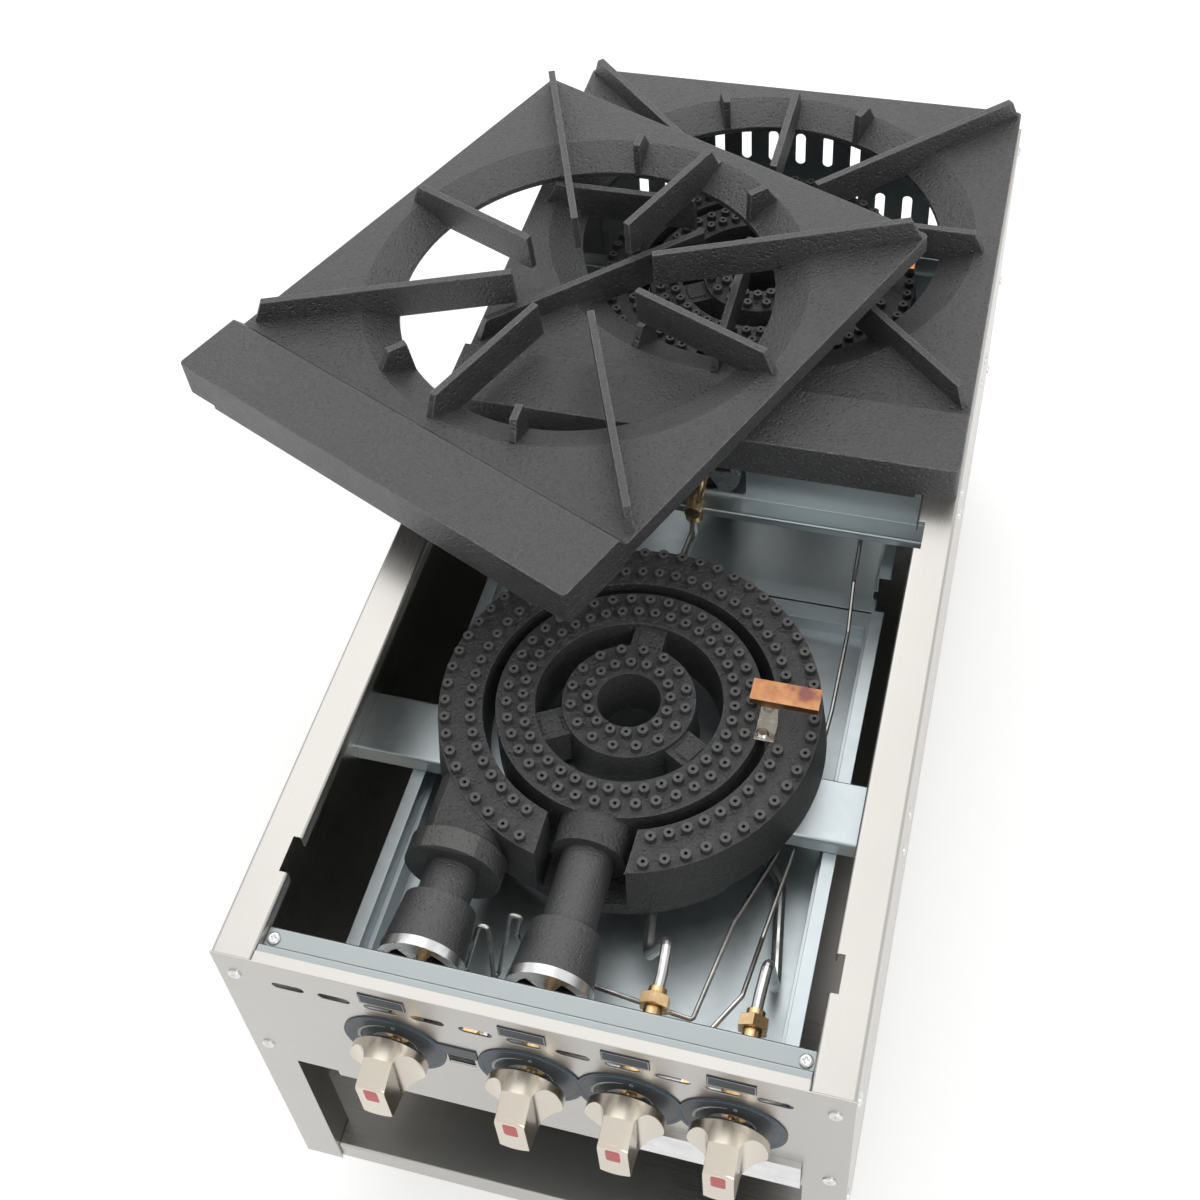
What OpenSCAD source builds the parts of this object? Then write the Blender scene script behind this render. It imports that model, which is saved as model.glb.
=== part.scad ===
/* [Cabinet] */
// Width across the side panels
cabinet_w = 457; // [450:1:500]
// Depth from control panel to back panel
cabinet_d = 1041; // [1036:1:1100]
// Height of the body from the legs to the side rails
body_h = 369; // [350:1:420]
// Height of the legs below the body
leg_h = 102; // [90:1:150]
// Thickness of the folded steel sheet
sheet = 1.2; // [0.8:0.1:1.5]
// Width of the side rails that carry the grates
rail_w = 31; // [29:1:34]
// Depth of the notches in the side rails
notch_depth = 6.8; // [4:0.1:8]
// Height of the control panel
control_h = 175; // [172:1:190]
// Width of the front posts beside the shelf
post_w = 32; // [28:1:36]
// Depth of the flanges folded behind the posts
post_flange = 25; // [15:1:32]

/* [Control panel] */
// Depth from the rails to the knob axes
axis_drop = 83; // [78:1:88]
// Knob places across the panel, from its middle
knob_xs = [-102.2, 0, 73, 145.9];
// Diameter of a bezel disc
bezel_d = 78; // [74:1:84]
// Hole in a bezel disc
bezel_hole = 32; // [28:1:36]
// Number of vent slots
vent_count = 11; // [5:1:12]
// Spacing of the vent slots
vent_pitch = 35.1; // [30:0.1:36]
// Length of a vent slot
vent_l = 24.5; // [15:0.5:28]
// Width of a vent slot
vent_w = 8; // [5:0.5:9]
// Depth from the rails to the vent slots
vent_drop = 31; // [29:0.5:34]

/* [Knobs] */
// Diameter of a knob at its skirt
knob_d = 57; // [52:1:62]
// Height of a knob from skirt to grip face
knob_h = 37.5; // [36:0.5:40]
// Width of the grip bar
grip_w = 21.5; // [18:0.5:24]
// Height of the grip face
grip_l = 48; // [42:1:52]
// Diameter of a valve spindle
spindle_d = 8; // [6:0.5:10]
// Clearance of a spindle in its bore
spindle_fit = 0.05; // [0.02:0.01:0.1]

/* [Burners] */
// Outer radius of the outer ring's top
outer_r = 156; // [153:1:160]
// Width of the outer ring's top
outer_band = 36.4; // [34:0.1:38]
// Outer radius of the middle ring's top
middle_r = 109; // [106:1:112]
// Width of the middle ring's top
middle_band = 32.3; // [30:0.1:34]
// Outer radius of the hub
hub_r = 54.6; // [52:0.1:57]
// Width of the hub's top
hub_band = 28.5; // [26:0.1:30]
// Depth from the rails to the ring tops
ring_drop = 56; // [53:1:59]
// Depth from the rails to the burner rails
support_drop = 104; // [102:1:107]
// Wall of the ring castings
cast_wall = 5; // [4:0.5:7]
// Diameter of a gas nozzle at its foot
nozzle_d = 9.6; // [8:0.1:10]
// Height of a gas nozzle
nozzle_h = 6; // [4:0.5:7]
// Diameter of the gas hole in a nozzle
jet_d = 3; // [2:0.1:4]
// Width of the gap in the outer ring
ring_gap = 72; // [70:1:76]

/* [Mixers] */
// Spacing of the two mixer tubes of a burner
mixer_pitch = 100; // [98:1:103]
// Outer diameter of a mixer tube
mixer_d = 42; // [38:1:46]
// Outer diameter of a mixer at its mouth
mouth_d = 64; // [60:1:66]
// Wall of a mixer
mixer_wall = 5; // [4:0.5:6]
// Distance from the panel to the front shutters
shutter_y = 60; // [59:1:63]
// Depth of a shutter's rim
shutter_rim = 8; // [6:0.5:10]
// Clearance between a shutter and its mixer
shutter_fit = 0.15; // [0.1:0.05:0.3]
// Sweep of one air window
window_sweep = 54; // [40:1:56]

/* [Grates] */
// Gap between a grate and the cabinet's sides
grate_inset = 2.35; // [1:0.05:4]
// Gap between the two grate places
grate_gap = 6.8; // [4:0.1:10]
// Thickness of the grate casting
grate_wall = 6; // [5:0.5:7]
// Height of the grate's plate
plate_top = 22.7; // [21:0.1:25]
// Height of the grate's front ledge
ledge_top = 34.9; // [32:0.1:38]
// Depth of the ledge's flat
ledge_d = 67; // [62:1:70]
// Height of the ribs that carry a pot
rib_top = 43.9; // [41:0.1:47]
// Thickness of a rib
rib_t = 6.6; // [5:0.1:8]
// Radius inside the ends of the ribs
rib_eye = 63; // [55:1:75]
// Outer radius of the sunk cone
cone_r = 205; // [200:1:207]
// Radius of the flame opening
flame_r = 173; // [165:1:178]

/* [Trays and gas] */
// Width of a drip tray
tray_w = 357; // [350:1:362]
// Depth from the rails to a tray's ledges
tray_drop = 121; // [119:1:124]
// Depth of a tray below its ledges
tray_h = 45; // [40:1:50]
// Outer diameter of the manifold
manifold_d = 27; // [24:0.5:28]
// Outer diameter of the gas inlet thread
inlet_d = 26.4; // [24:0.1:28]
// Length of the inlet outside the back panel
inlet_l = 31.5; // [20:0.5:40]
// Outer diameter of a gas pipe
pipe_d = 9; // [8:0.5:10]
// Outer diameter of a pilot tube
pilot_d = 3.8; // [2.5:0.1:4]
// Outer diameter of a leg
leg_d = 41; // [38:1:44]
// How far a foot screws in
foot_travel = 12; // [5:1:20]

/* [Hidden] */
$fn = 48;

// Heights and half widths that the whole cabinet shares
half_w = cabinet_w / 2;
rail_top = leg_h + body_h;
half_t = sheet / 2;
inner_w = half_w - sheet;
axis_z = rail_top - axis_drop;
ring_top = rail_top - ring_drop;
support_z = rail_top - support_drop;
rail_lip = 12;
fold_r = 2;
fold_clear = fold_r + sheet;
touch = 0.3;

// Front panel cut-outs
control_bottom = rail_top - control_h;
step_w = 34;
step_h = 8;
top_return = 9;
bridge_x = [-67.5, -38.5];
bridge_drop = [65, 79];
window_x = [-62, -41.5];
window_drop = [79.5, 94];
screw_inset = 13;
screw_drops = [27, 145];
screw_d = 4.2;
screw_head_d = 10;
screw_head_h = 2.4;

// Grate places
grate_w = cabinet_w - 2 * grate_inset;
grate_front_y = 4;
grate_d = (cabinet_d - 2 * grate_front_y - grate_gap) / 2;
grate_pitch = grate_d + grate_gap;
crease_y = ledge_d + 9;
flame_y = crease_y + 217.3;
notch_l = 29;
notch_ys = [70.7, 466, 70.7 + grate_pitch, 466 + grate_pitch];

// Resting place of the lifted front grate, across the rear one
askew_at = [-458.5, 491.5, 26.6];
askew_turn = [1.52, -1.42, -24.54];

// Burner places
burner_x = -4.8;
burner_y = 306.5;
burner_pitch = grate_pitch + 6;
burner_ys = [burner_y, burner_y + burner_pitch];
ring_h = support_drop - ring_drop - touch;
ring_draft = 5;
collar_r = 30;
outer_collar_r = 39;
gap_depth = axis_drop - ring_drop + collar_r + 2;
belly_drop = 80;
// Rows of nozzles: radius, number round a full turn, angle of the first one
outer_rows = [[outer_r - 6, 57, 4.2], [outer_r - outer_band + 9.4, 56, 2.4]];
middle_rows = [[middle_r - 9.5, 39, 1.3], [middle_r - middle_band + 9.6, 39, 6.2]];
hub_rows = [[hub_r - 7.2, 16, 21.5], [hub_r - hub_band + 7.9, 16, 11]];
spoke_w = 27;
pad_w = 16;

jet_xs = [burner_x - mixer_pitch, burner_x];

// Mixer lengths, from the shutter's front face
mouth_l = 11;
bell_l = 48;
inner_mixer_end = 140;
outer_mixer_end = 105;
socket_l = 30;
shutter_t = 1.5;
window_r = [9, 25];
window_first = 60;

// Burner rails, trays and their rests
support_y = [242, 299];
support_lip = 16.5;
tray_y = 40;
tray_gap = 2;
tray_back = 69;
tray_d = (cabinet_d - tray_back - tray_y - tray_gap) / 2;
tray_end = tray_y + tray_d;
tray_half = tray_w / 2;
tray_ledge = 10;
tray_step = 4;
tray_t = 1;
tray_hem = 16;
partition_y = grate_pitch + 50.1;
partition_foot = 94;
flange_d = 20;
cutout_w = 84;
cutout_drop = 90;

// Gas train
manifold_y = 24;
manifold_z = rail_top - 118;
boss_z = rail_top - 98;
drop_x = 182;
supply_x = 140;
thread_l = 18;
supply_z = rail_top - 205;
supply_bend = 18;
nut_w = 20.6;
nut_y = [68, 83];
valve_end = 44;
bend_r = 11;
loop_r = 3.2;
riser_x = burner_x + 114.3;
pilot_xs = [-52, 112];
pilot_z = rail_top - 91;
elbow_y = shutter_y + burner_pitch - 44.9;
elbow_foot = axis_z - 14;
inner_floor = rail_top - 142;
outer_floor = rail_top - 155;
inner_pipe_points = [[knob_xs[2], nut_y[1] - 2.5, axis_z], [knob_xs[2], 94, axis_z], [71, 122, axis_z],
    [50, 134, inner_floor], [-13, elbow_y - 16, inner_floor], [burner_x, elbow_y, axis_z - 34],
    [burner_x, elbow_y, elbow_foot - touch]];
outer_pipe_points = [[knob_xs[3], nut_y[1] - 2.5, axis_z], [knob_xs[3], 94, axis_z], [147, 122, axis_z],
    [150, 136, outer_floor], [137, 226, outer_floor], [-40, tray_end - 65, outer_floor],
    [-70, tray_end - 21, inner_floor],
    [-102, elbow_y - 15, inner_floor], [burner_x - mixer_pitch, elbow_y, axis_z - 34],
    [burner_x - mixer_pitch, elbow_y, elbow_foot - touch]];
front_pilot_points = [[pilot_xs[0], 50 + touch, pilot_z], [pilot_xs[0], 58, pilot_z],
    [-88, 92, rail_top - 148], [-65.5, 92, rail_top - 63], [-58, 92, rail_top - 63],
    [-64, 92, rail_top - 150], [-61, 98, rail_top - 150], [-37.5, 92, rail_top - 34],
    [-29.5, 92, rail_top - 34], [-38.5, 97, rail_top - 72], [-38.5, 104, rail_top - 124],
    [22, 92, rail_top - 124], [98, 82, rail_top - 120], [112, 168, rail_top - 120],
    [134, 243, rail_top - 128], [130, 300, rail_top - 128], [riser_x, burner_ys[0] + 9.6, rail_top - 124],
    [riser_x, burner_ys[0] + 9.6, ring_top + 6 - touch]];
rear_pilot_points = [[pilot_xs[1], 50 + touch, pilot_z], [pilot_xs[1], 58, pilot_z],
    [tray_half - 46.5, 100, rail_top - 100], [tray_half - 43.5, 160, rail_top - 125],
    [tray_half - 33.9, 240, rail_top - 125.5], [tray_half - 27.5, tray_end - 127, rail_top - 125.5],
    [tray_half - 27.5, tray_end - 45, rail_top - 122], [tray_half - 30.5, tray_end, rail_top - 108],
    [tray_half - 33.5, partition_y + 20, rail_top - 108],
    [tray_half - 34.5, partition_y + 70, rail_top - 125.5],
    [tray_half - 38.5, burner_ys[1] - 12.4, rail_top - 125.5],
    [riser_x, burner_ys[1] + 9.6, rail_top - 125.5], [riser_x, burner_ys[1] + 9.6, ring_top + 6 - touch]];
hood_at = [95, 2, -25];

// Row origin: under the middle of everything, on the floor
knob_gap = 8;
knob_face = knob_gap + knob_h;
askew_left = askew_at[0] + 0.45;
origin_x = (askew_left + half_w + screw_head_h) / 2;
origin_y = (cabinet_d + inlet_l - knob_face) / 2;

module in_frame() {
    translate([-origin_x, -origin_y, 0]) children();
}

// A block between two opposite corners
module block(from, to) {
    translate(from) cube(to - from);
}

// A cylinder lying along Y from y0 to y1
module bar_y(x, z, y0, y1, r) {
    translate([x, y0, z]) rotate([-90, 0, 0]) cylinder(r = r, h = y1 - y0);
}

// A cylinder lying along X from x0 to x1
module bar_x(y, z, x0, x1, r) {
    translate([x0, y, z]) rotate([0, 90, 0]) cylinder(r = r, h = x1 - x0);
}

// A long hole with round ends through a sheet that faces Y
module slot_y(x, z, w, h, y0, y1) {
    r = min(w, h) / 2;
    along_x = w > h;
    reach = abs(w - h) / 2;
    dx = along_x ? reach : 0;
    dz = along_x ? 0 : reach;
    bar_y(x - dx, z - dz, y0, y1, r);
    bar_y(x + dx, z + dz, y0, y1, r);
    block([x - (along_x ? dx : r), y0, z - (along_x ? r : dz)],
        [x + (along_x ? dx : r), y1, z + (along_x ? r : dz)]);
}

function unit(v) = v / norm(v);
function turn_at(p, i) = acos(unit(p[i] - p[i - 1]) * unit(p[i + 1] - p[i]));
function setback(p, i, r) = (i <= 0 || i >= len(p) - 1) ? 0 : r * tan(turn_at(p, i) / 2);

// Sheet folded along a path of points in the XY plane and drawn up along Z
module folded(p, h, t = sheet, r = fold_r) {
    for (i = [0 : len(p) - 2]) {
        u = unit(p[i + 1] - p[i]);
        from = p[i] + u * setback(p, i, r);
        run = norm(p[i + 1] - p[i]) - setback(p, i, r) - setback(p, i + 1, r);
        heading = atan2(u[1], u[0]);
        translate([from[0], from[1], 0]) rotate([0, 0, heading]) {
            translate([0, -t / 2, 0]) cube([run, t, h]);
            if (i < len(p) - 2) {
                v = unit(p[i + 2] - p[i + 1]);
                left = u[0] * v[1] - u[1] * v[0] > 0;
                angle = turn_at(p, i + 1);
                translate([run, left ? r : -r, 0]) rotate([0, 0, left ? -90 : 90 - angle])
                    rotate_extrude(angle = angle) translate([r - t / 2, 0]) square([t, h]);
            }
        }
    }
}

// Folded sheet that spans across the cabinet, its path given as [y, z]
module folded_across(p, x0, x1) {
    translate([x0, 0, 0]) rotate([90, 0, 90]) folded(p, x1 - x0);
}

// Folded sheet that runs along the cabinet, its path given as [x, z]
module folded_along(p, y0, y1) {
    translate([0, y1, 0]) rotate([90, 0, 0]) folded(p, y1 - y0);
}

// Round pipe along a path of points, with an arc at each bend
module bent_pipe(p, d, r) {
    for (i = [0 : len(p) - 2]) {
        u = unit(p[i + 1] - p[i]);
        from = p[i] + u * setback(p, i, r);
        run = norm(p[i + 1] - p[i]) - setback(p, i, r) - setback(p, i + 1, r);
        translate(from) rotate([0, acos(u[2]), atan2(u[1], u[0])]) cylinder(d = d, h = run);
        if (i < len(p) - 2) {
            v = unit(p[i + 2] - p[i + 1]);
            n = unit(v - (v * u) * u);
            w = cross(-n, u);
            c = from + u * run + n * r;
            multmatrix([[-n[0], u[0], w[0], c[0]], [-n[1], u[1], w[1], c[1]],
                [-n[2], u[2], w[2], c[2]], [0, 0, 0, 1]])
                rotate_extrude(angle = turn_at(p, i + 1)) translate([r, 0]) circle(d = d);
        }
    }
}

// The centre line of a bent tube: straight runs, with an arc of radius r at each corner
function bend_points(p, i, r) =
    let (u = unit(p[i] - p[i - 1]), v = unit(p[i + 1] - p[i]), n = unit(v - (v * u) * u),
        c = p[i] - u * setback(p, i, r) + n * r, a = turn_at(p, i), steps = max(2, ceil(a / 18)))
    [for (k = [0 : steps]) c + r * (sin(a * k / steps) * u - cos(a * k / steps) * n)];
function route(p, r) = concat([p[0]], [for (i = [1 : len(p) - 2]) each bend_points(p, i, r)],
    [p[len(p) - 1]]);

// Headings along a line, and a side direction carried along it without twist
function headings(q) = [for (i = [0 : len(q) - 1])
    unit((i > 0 ? unit(q[i] - q[i - 1]) : [0, 0, 0])
        + (i < len(q) - 1 ? unit(q[i + 1] - q[i]) : [0, 0, 0]))];
function sides_along(t) = [for (i = 0, s = unit(cross(t[0], [0.3, 0.2, 1])); i < len(t);
    i = i + 1, s = i < len(t) ? unit(s - (s * t[i]) * t[i]) : s) s];

// One closed tube swept along a bent route
module bent_tube(p, d, r, n) {
    q = route(p, r);
    t = headings(q);
    s = sides_along(t);
    last = len(q) - 1;
    polyhedron(
        [for (i = [0 : last], k = [0 : n - 1])
            q[i] + d / 2 * (cos(360 * k / n) * s[i] + sin(360 * k / n) * cross(t[i], s[i]))],
        concat([[for (k = [0 : n - 1]) k]], [[for (k = [0 : n - 1]) last * n + n - 1 - k]],
            [for (i = [0 : last - 1], k = [0 : n - 1]) [i * n + k, (i + 1) * n + k, i * n + (k + 1) % n]],
            [for (i = [0 : last - 1], k = [0 : n - 1])
                [i * n + (k + 1) % n, (i + 1) * n + k, (i + 1) * n + (k + 1) % n]]));
}

// Pan head screw whose head stands on a face, looking along -Z into it
module pan_screw(shank) {
    rotate_extrude() polygon([[0, 0], [screw_head_d / 2, 0], [screw_head_d / 2, 1],
        [screw_head_d / 2 - 1.6, screw_head_h], [0, screw_head_h]]);
    translate([0, 0, -shank]) cylinder(d = screw_d - 0.2, h = shank);
}

// Places of the screws on the left side: [y, z]
side_screw_places = concat(
    [for (z = [rail_top - 22, rail_top - 200, leg_h + 30]) [post_flange / 2, z]],
    [for (k = [0, 1], y = [support_y[0] + 12, support_y[1] - 12]) [y + k * burner_pitch, support_z - 9]],
    [for (z = [rail_top - 30, rail_top - 60]) [partition_y - 9, z]],
    [for (z = [rail_top - 22, rail_top - 200, leg_h + 30]) [cabinet_d - 10, z]]);

module side_panel_shape() {
    edge = -half_w + rail_w;
    difference() {
        folded_along([[-half_w + 20, leg_h + half_t], [-half_w + half_t, leg_h + half_t],
            [-half_w + half_t, rail_top - half_t], [edge - half_t, rail_top - half_t],
            [edge - half_t, rail_top - rail_lip]], sheet, cabinet_d - sheet);
        for (y = notch_ys)
            block([edge - notch_depth, y, rail_top - rail_lip - 1], [edge + 1, y + notch_l, rail_top + 1]);
        for (place = side_screw_places)
            bar_x(place[0], place[1], -half_w - 1, -half_w + 3, screw_d / 2);
    }
}

module side_panel_left() {
    color("lightgray") in_frame() side_panel_shape();
}

module side_panel_right() {
    color("lightgray") in_frame() mirror([1, 0, 0]) side_panel_shape();
}

// Control panel and both posts are one sheet, flanged backwards on every edge
module front_panel() {
    inside = half_w - post_w;
    step = inside - step_w;
    color("gainsboro") in_frame() difference() {
        union() {
            block([-half_w, 0, leg_h], [half_w, sheet, rail_top]);
            for (s = [-1, 1]) {
                x = s * (inner_w - half_t);
                block([x - half_t, sheet, leg_h + fold_clear],
                    [x + half_t, post_flange, rail_top - fold_clear]);
                xi = s * (inside + half_t);
                block([xi - half_t, sheet, leg_h + 2],
                    [xi + half_t, post_flange, control_bottom + step_h]);
            }
            block([-half_w + rail_w + touch, sheet, rail_top - sheet],
                [half_w - rail_w - touch, top_return, rail_top]);
            block([-step, sheet, control_bottom], [step, 12, control_bottom + sheet]);
        }
        block([-inside, -1, leg_h - 1], [inside, 2 * sheet, control_bottom]);
        for (s = [-1, 1])
            block([min(s * step, s * inside), -1, control_bottom - 1],
                [max(s * step, s * inside), sheet + 0.01, control_bottom + step_h]);
        for (i = [0 : vent_count - 1])
            slot_y((i - (vent_count - 1) / 2) * vent_pitch, rail_top - vent_drop, vent_l, vent_w, -1, 3);
        for (x = knob_xs) bar_y(x, axis_z, -1, 3, bezel_hole / 2);
        block([window_x[0], -1, rail_top - window_drop[1]], [window_x[1], 3, rail_top - window_drop[0]]);
        for (s = [-1, 1], drop = screw_drops)
            bar_y(s * (half_w - screw_inset), rail_top - drop, -1, 3, screw_d / 2);
        for (s = [-1, 1], place = side_screw_places)
            bar_x(place[0], place[1], s > 0 ? inner_w - 3 : -inner_w - 3, s > 0 ? inner_w + 3 : 3 - inner_w,
                screw_d / 2);
    }
}

module front_crossbar() {
    z = rail_top - sheet - half_t;
    span = half_w - rail_w - touch;
    color("lightsteelblue") in_frame() difference() {
        folded_across([[2, z], [15.4, z], [15.4, z - 8.4], [33, z - 8.4], [33, z - 20]], -span, span);
        for (s = [-1, 1])
            translate([s * (span - 6), 24, z - 12]) cylinder(d = screw_d, h = 10);
    }
}

// Stands between the two burner wells; its notch lets the rear orifices through
module partition_rail() {
    z = rail_top - partition_foot;
    y = partition_y;
    x = burner_x;
    color("lightsteelblue") in_frame() difference() {
        union() {
            folded_across([[y - flange_d, z - 8], [y - flange_d, z], [y, z], [y, rail_top - 16],
                [y + 18, rail_top - 16]], -inner_w, inner_w);
            for (s = [-1, 1])
                block([s > 0 ? inner_w - sheet : -inner_w, y - 17, z + 3],
                    [s > 0 ? inner_w : -inner_w + sheet, y - half_t, rail_top - 20]);
        }
        for (dx = [0, -mixer_pitch]) {
            block([x + dx - cutout_w / 2, y - 4, rail_top - cutout_drop + 6],
                [x + dx + cutout_w / 2, y + 4, rail_top - 40]);
            block([x + dx - cutout_w / 2 + 6, y - 4, rail_top - cutout_drop],
                [x + dx + cutout_w / 2 - 6, y + 4, rail_top - 40]);
            for (s = [-1, 1])
                bar_y(x + dx + s * (cutout_w / 2 - 6), rail_top - cutout_drop + 6, y - 4, y + 4, 6);
        }
        for (s = [-1, 1], place = side_screw_places)
            bar_x(place[0], place[1], s > 0 ? inner_w - 3 : -inner_w - 3, s > 0 ? inner_w + 3 : 3 - inner_w,
                screw_d / 2);
    }
}

// Vented back, with two rows of upright slots and flanges folded forwards
module back_panel() {
    y = cabinet_d;
    color("silver") in_frame() difference() {
        union() {
            block([-half_w, y - sheet, leg_h], [half_w, y, rail_top]);
            for (s = [-1, 1])
                block([s > 0 ? inner_w - sheet : -inner_w, y - 20, leg_h + fold_clear],
                    [s > 0 ? inner_w : -inner_w + sheet, y - sheet, rail_top - fold_clear]);
            block([-half_w + rail_w + touch, y - 16, rail_top - sheet],
                [half_w - rail_w - touch, y - sheet, rail_top]);
        }
        for (i = [-6 : 6], drop = [56, 124])
            slot_y(i * 29.7, rail_top - drop, 10.5, 40, y - 3, y + 1);
        bar_y(supply_x, supply_z, y - 30, y + 1, inlet_d / 2 + 1.5);
        for (s = [-1, 1], place = side_screw_places)
            bar_x(place[0], place[1], s > 0 ? inner_w - 3 : -inner_w - 3, s > 0 ? inner_w + 3 : 3 - inner_w,
                screw_d / 2);
    }
}

module base_shelf() {
    lip_x = half_w - post_w - touch;
    z = leg_h + 24 - half_t;
    y1 = cabinet_d - 2 * sheet;
    color("gainsboro") in_frame() {
        folded_across([[2 * sheet + half_t, leg_h + 1], [2 * sheet + half_t, z], [y1, z]], -lip_x, lip_x);
        for (s = [-1, 1])
            block([s > 0 ? lip_x - 0.01 : -inner_w, post_flange + touch, z - half_t],
                [s > 0 ? inner_w : -lip_x + 0.01, y1 - 20, z + half_t]);
    }
}

// Stepped pan whose back edge is a low hem
module tray_shape() {
    w = tray_w / 2;
    z = rail_top - tray_drop;
    mid = z - 21;
    foot = z - tray_h;
    back = tray_end;
    y1 = back - tray_hem;
    wall = w - tray_ledge;
    low = wall - tray_step;
    difference() {
        union() {
            block([-w, tray_y, z - tray_t], [w, y1, z]);
            block([-wall, tray_y + tray_ledge, mid], [wall, y1, z]);
            block([-low, tray_y + tray_ledge + tray_step, foot - tray_t], [low, y1, mid]);
            block([-wall, y1, rail_top - 150 - tray_t], [wall, back, rail_top - 150]);
            block([-wall, back - tray_t, rail_top - 156], [wall, back, rail_top - 150]);
        }
        block([-wall + tray_t, tray_y + tray_ledge + tray_t, mid + tray_t],
            [wall - tray_t, y1 - tray_t, z + 1]);
        block([-low + tray_t, tray_y + tray_ledge + tray_step + tray_t, foot],
            [low - tray_t, y1 - tray_t, mid + 2]);
        block([-w - 1, y1 - tray_t - 1, rail_top - 150], [w + 1, y1 + 1, z + 1]);
    }
}

module front_tray() {
    color("lightsteelblue") in_frame() tray_shape();
}

module rear_tray() {
    color("lightsteelblue") in_frame() translate([0, 2 * tray_end + tray_gap, 0])
        mirror([0, 1, 0]) tray_shape();
}

// Angles across the cabinet under the front of one tray and the back of the other
module tray_rests() {
    z = rail_top - tray_drop - tray_h - tray_t - half_t;
    color("lightslategray") in_frame()
        for (y = [tray_y + 18, tray_y + 2 * tray_d + tray_gap - 36])
            folded_across([[y, z - 18], [y, z], [y + 18, z]], -inner_w, inner_w);
}

// Inverted channel that carries a burner, tabbed down at both ends
module burner_rail_shape() {
    z = support_z - half_t;
    difference() {
        union() {
            folded_across([[support_y[0] + half_t, support_z - support_lip], [support_y[0] + half_t, z],
                [support_y[1] - half_t, z], [support_y[1] - half_t, support_z - support_lip]],
                -inner_w, inner_w);
            for (s = [-1, 1])
                block([s > 0 ? inner_w - sheet : -inner_w, support_y[0] + 3, support_z - support_lip],
                    [s > 0 ? inner_w : -inner_w + sheet, support_y[1] - 3, support_z - sheet]);
        }
        for (s = [-1, 1], y = [support_y[0] + 12, support_y[1] - 12])
            bar_x(y, support_z - 9, s > 0 ? inner_w - 3 : -inner_w - 3, s > 0 ? inner_w + 3 : 3 - inner_w,
                screw_d / 2);
    }
}

module front_burner_rail() {
    color("lightsteelblue") in_frame() burner_rail_shape();
}

module rear_burner_rail() {
    color("lightsteelblue") in_frame() translate([0, burner_pitch, 0]) burner_rail_shape();
}

// Legs: a plate under the body with a hollow tube below it
leg_x = half_w - 50;
leg_y = 82;
leg_plate_t = 3;
leg_bore = 26;
foot_show = 26;
foot_clear = 0.2;

module leg_sockets() {
    color("silver") in_frame()
        for (s = [-1, 1], y = [leg_y, cabinet_d - leg_y])
            translate([s * leg_x, y, 0]) difference() {
                union() {
                    block([-50, -leg_y + 3 * sheet + 2, leg_h - leg_plate_t], [50, leg_y - 12, leg_h]);
                    translate([0, 0, foot_show]) cylinder(d = leg_d, h = leg_h - foot_show - leg_plate_t);
                }
                translate([0, 0, foot_show - 1]) cylinder(d = leg_bore, h = leg_h - foot_show - 12);
            }
}

// Adjustable foot: a stem in the leg's bore and a bullet below it
module foot_shape() {
    r = leg_d / 2 - 1;
    gap = foot_travel + 1;
    stem = leg_bore / 2 - foot_clear;
    rotate_extrude() polygon([[0, 0], [r - 6, 0], [r - 2, 3], [r, 9], [r, foot_show - gap],
        [stem, foot_show - gap], [stem, leg_h - 14 - gap], [0, leg_h - 14 - gap]]);
}

module foot_at(x, y) {
    color("dimgray") in_frame() translate([x, y, 0]) foot_shape();
}

module foot_front_left() { foot_at(-leg_x, leg_y); }
module foot_front_right() { foot_at(leg_x, leg_y); }
module foot_rear_left() { foot_at(-leg_x, cabinet_d - leg_y); }
module foot_rear_right() { foot_at(leg_x, cabinet_d - leg_y); }

// One plate of four discs joined by a bridge
module bezel_plate() {
    color("darkslategray") in_frame() difference() {
        union() {
            for (x = knob_xs) bar_y(x, axis_z, -1, 0, bezel_d / 2);
            block([bridge_x[0], -1, rail_top - bridge_drop[1]], [bridge_x[1], 0, rail_top - bridge_drop[0]]);
        }
        for (x = knob_xs) bar_y(x, axis_z, -2, 1, bezel_hole / 2);
    }
}

module label_plates() {
    color("dimgray") in_frame()
        for (x = knob_xs) block([x - 17, -0.8, rail_top - 24], [x + 17, 0, rail_top - 10.5]);
}

module nameplate() {
    color("gainsboro") in_frame() {
        block([56.5, -5, rail_top - 161], [195.5, -4, rail_top - 124]);
        block([56.5, -4, rail_top - 125], [195.5, 0, rail_top - 124]);
        block([56.5, -4, rail_top - 161], [195.5, 0, rail_top - 160]);
    }
}

// Round skirt scooped away on both sides to leave an upright grip
module knob_shape() {
    r = knob_d / 2;
    g = grip_l / 2;
    skirt = 17.5;
    scoop = 12;
    scoop_z = skirt + 2;
    difference() {
        rotate_extrude() polygon(concat([[0, 0], [r - 1.5, 0], [r, 1.5], [r, skirt]],
            [for (a = [0 : 15 : 90]) [g - 3 + 3 * cos(a), knob_h - 3 + 3 * sin(a)]], [[0, knob_h]]));
        for (s = [-1, 1])
            translate([s * (grip_w / 2 + scoop), -r - 1, scoop_z]) rotate([-90, 0, 0])
                cylinder(r = scoop, h = knob_d + 2, $fn = 64);
        for (s = [-1, 1])
            block([min(s * (grip_w / 2), s * (r + 1)), -r - 1, scoop_z],
                [max(s * (grip_w / 2), s * (r + 1)), r + 1, knob_h + 1]);
        translate([0, 0, -1]) cylinder(d = spindle_d + 2 * spindle_fit, h = 25);
        translate([0, 0, -1]) difference() {
            cylinder(r = r - 3, h = 6);
            cylinder(r = spindle_d / 2 + 4, h = 6);
        }
    }
}

module knob_at(x) {
    color("tan") in_frame() translate([x, -knob_gap, axis_z]) rotate([90, 0, 0]) knob_shape();
}

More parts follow.
